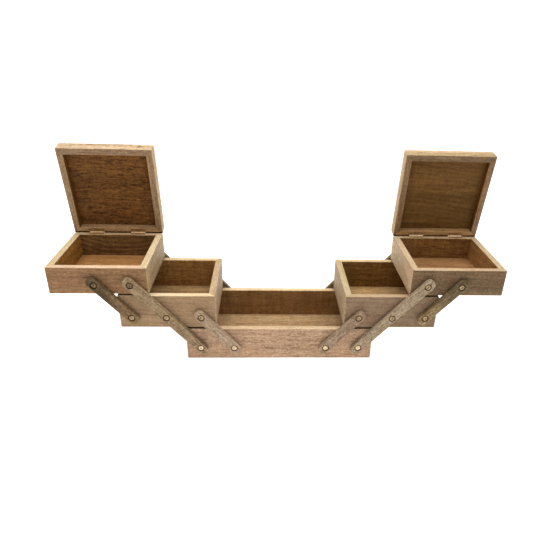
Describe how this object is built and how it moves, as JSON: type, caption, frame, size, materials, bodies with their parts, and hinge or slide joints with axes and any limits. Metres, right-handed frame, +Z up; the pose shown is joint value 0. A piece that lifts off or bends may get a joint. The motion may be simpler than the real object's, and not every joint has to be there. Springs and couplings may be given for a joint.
{
  "type": "sewing carrier",
  "caption": "Wooden cantilever sewing carrier: an open base tray, with middle trays and lidded top boxes that swing out to both sides on pivoting arms.",
  "frame": {"origin": "centre of the base tray's underside", "axes": "+X along the length, from the left boxes to the right, +Y to the back, where the lid hinges are, +Z up"},
  "size_m": [0.7, 0.179, 0.3095],
  "materials": {
    "wall_wood": "oiled hardwood, satin, edges eased",
    "floor_wood": "sanded hardwood panel, matt",
    "lid_rail_wood": "oiled hardwood, satin",
    "lid_panel_wood": "oiled hardwood, satin",
    "arm_wood": "oiled hardwood, satin",
    "screw_brass": "pale brass, lightly brushed",
    "washer_brass": "plain brass",
    "hinge_brass": "rolled brass, slightly dull"
  },
  "bodies": {
    "base": {"base_back_wall": "wall_wood", "base_bottom_panel": "floor_wood", "base_end_walls": "wall_wood", "base_front_wall": "wall_wood", "base_pivot_screws": "screw_brass", "base_pivot_washers": "washer_brass"},
    "left_long_arms": {"left_front_long_arm": "arm_wood", "left_back_long_arm": "arm_wood"},
    "left_lower_arms": {"left_front_lower_arm": "arm_wood", "left_back_lower_arm": "arm_wood"},
    "left_middle_tray": {"left_middle_back_wall": "wall_wood", "left_middle_bottom_panel": "floor_wood", "left_middle_end_walls": "wall_wood", "left_middle_front_wall": "wall_wood", "left_middle_pivot_screws": "screw_brass", "left_middle_pivot_washers": "washer_brass"},
    "left_upper_arms": {"left_front_upper_arm": "arm_wood", "left_back_upper_arm": "arm_wood"},
    "left_top_box": {"left_top_back_wall": "wall_wood", "left_top_bottom_panel": "floor_wood", "left_top_end_walls": "wall_wood", "left_top_front_wall": "wall_wood", "left_top_pivot_screws": "screw_brass", "left_top_pivot_washers": "washer_brass", "left_hinge_box_leaves": "hinge_brass", "left_hinge_pins": "hinge_brass", "left_hinge_box_screws": "hinge_brass"},
    "left_lid": {"left_lid_back_rail": "lid_rail_wood", "left_lid_front_rail": "lid_rail_wood", "left_lid_panel": "lid_panel_wood", "left_lid_side_rails": "lid_rail_wood", "left_hinge_lid_leaves": "hinge_brass", "left_hinge_lid_screws": "hinge_brass"},
    "right_long_arms": {"right_front_long_arm": "arm_wood", "right_back_long_arm": "arm_wood"},
    "right_lower_arms": {"right_front_lower_arm": "arm_wood", "right_back_lower_arm": "arm_wood"},
    "right_middle_tray": {"right_middle_back_wall": "wall_wood", "right_middle_bottom_panel": "floor_wood", "right_middle_end_walls": "wall_wood", "right_middle_front_wall": "wall_wood", "right_middle_pivot_screws": "screw_brass", "right_middle_pivot_washers": "washer_brass"},
    "right_upper_arms": {"right_front_upper_arm": "arm_wood", "right_back_upper_arm": "arm_wood"},
    "right_top_box": {"right_top_back_wall": "wall_wood", "right_top_bottom_panel": "floor_wood", "right_top_end_walls": "wall_wood", "right_top_front_wall": "wall_wood", "right_top_pivot_screws": "screw_brass", "right_top_pivot_washers": "washer_brass", "right_hinge_box_leaves": "hinge_brass", "right_hinge_pins": "hinge_brass", "right_hinge_box_screws": "hinge_brass"},
    "right_lid": {"right_lid_back_rail": "lid_rail_wood", "right_lid_front_rail": "lid_rail_wood", "right_lid_panel": "lid_panel_wood", "right_lid_side_rails": "lid_rail_wood", "right_hinge_lid_leaves": "hinge_brass", "right_hinge_lid_screws": "hinge_brass"}
  },
  "joints": [
    {"name": "left_fold", "type": "hinge", "parent": "base", "child": "left_long_arms", "pos_m": [-0.1265, 0, 0.0245], "axis": [0, 1, 0], "range_deg": [0, 84.55]},
    {"name": "left_lower_arm_turn", "type": "hinge", "parent": "base", "child": "left_lower_arms", "pos_m": [-0.0735, 0, 0.0245], "axis": [0, 1, 0], "range_deg": [0, 84.55]},
    {"name": "left_middle_tray_level", "type": "hinge", "parent": "left_long_arms", "child": "left_middle_tray", "pos_m": [-0.1765, 0, 0.0795], "axis": [0, 1, 0], "range_deg": [-84.55, 0]},
    {"name": "left_upper_arm_turn", "type": "hinge", "parent": "left_middle_tray", "child": "left_upper_arms", "pos_m": [-0.2295, 0, 0.0795], "axis": [0, 1, 0], "range_deg": [0, 84.55]},
    {"name": "left_top_box_level", "type": "hinge", "parent": "left_long_arms", "child": "left_top_box", "pos_m": [-0.2265, 0, 0.1345], "axis": [0, 1, 0], "range_deg": [-84.55, 0]},
    {"name": "left_lid_hinge", "type": "hinge", "parent": "left_top_box", "child": "left_lid", "pos_m": [-0.27575, 0.0731, 0.1601], "axis": [-1, 0, 0], "range_deg": [-80, 4]},
    {"name": "right_fold", "type": "hinge", "parent": "base", "child": "right_long_arms", "pos_m": [0.1265, 0, 0.0245], "axis": [0, -1, 0], "range_deg": [0, 84.55]},
    {"name": "right_lower_arm_turn", "type": "hinge", "parent": "base", "child": "right_lower_arms", "pos_m": [0.0735, 0, 0.0245], "axis": [0, -1, 0], "range_deg": [0, 84.55]},
    {"name": "right_middle_tray_level", "type": "hinge", "parent": "right_long_arms", "child": "right_middle_tray", "pos_m": [0.1765, 0, 0.0795], "axis": [0, -1, 0], "range_deg": [-84.55, 0]},
    {"name": "right_upper_arm_turn", "type": "hinge", "parent": "right_middle_tray", "child": "right_upper_arms", "pos_m": [0.2295, 0, 0.0795], "axis": [0, -1, 0], "range_deg": [0, 84.55]},
    {"name": "right_top_box_level", "type": "hinge", "parent": "right_long_arms", "child": "right_top_box", "pos_m": [0.2265, 0, 0.1345], "axis": [0, -1, 0], "range_deg": [-84.55, 0]},
    {"name": "right_lid_hinge", "type": "hinge", "parent": "right_top_box", "child": "right_lid", "pos_m": [0.27575, 0.0731, 0.1601], "axis": [-1, 0, 0], "range_deg": [-80, 4]}
  ],
  "couplings": [
    {"joint": "left_lower_arm_turn", "follows": "left_fold", "ratio": 1},
    {"joint": "left_middle_tray_level", "follows": "left_fold", "ratio": -1},
    {"joint": "left_upper_arm_turn", "follows": "left_fold", "ratio": 1},
    {"joint": "left_top_box_level", "follows": "left_fold", "ratio": -1},
    {"joint": "right_lower_arm_turn", "follows": "right_fold", "ratio": 1},
    {"joint": "right_middle_tray_level", "follows": "right_fold", "ratio": -1},
    {"joint": "right_upper_arm_turn", "follows": "right_fold", "ratio": 1},
    {"joint": "right_top_box_level", "follows": "right_fold", "ratio": -1}
  ]
}
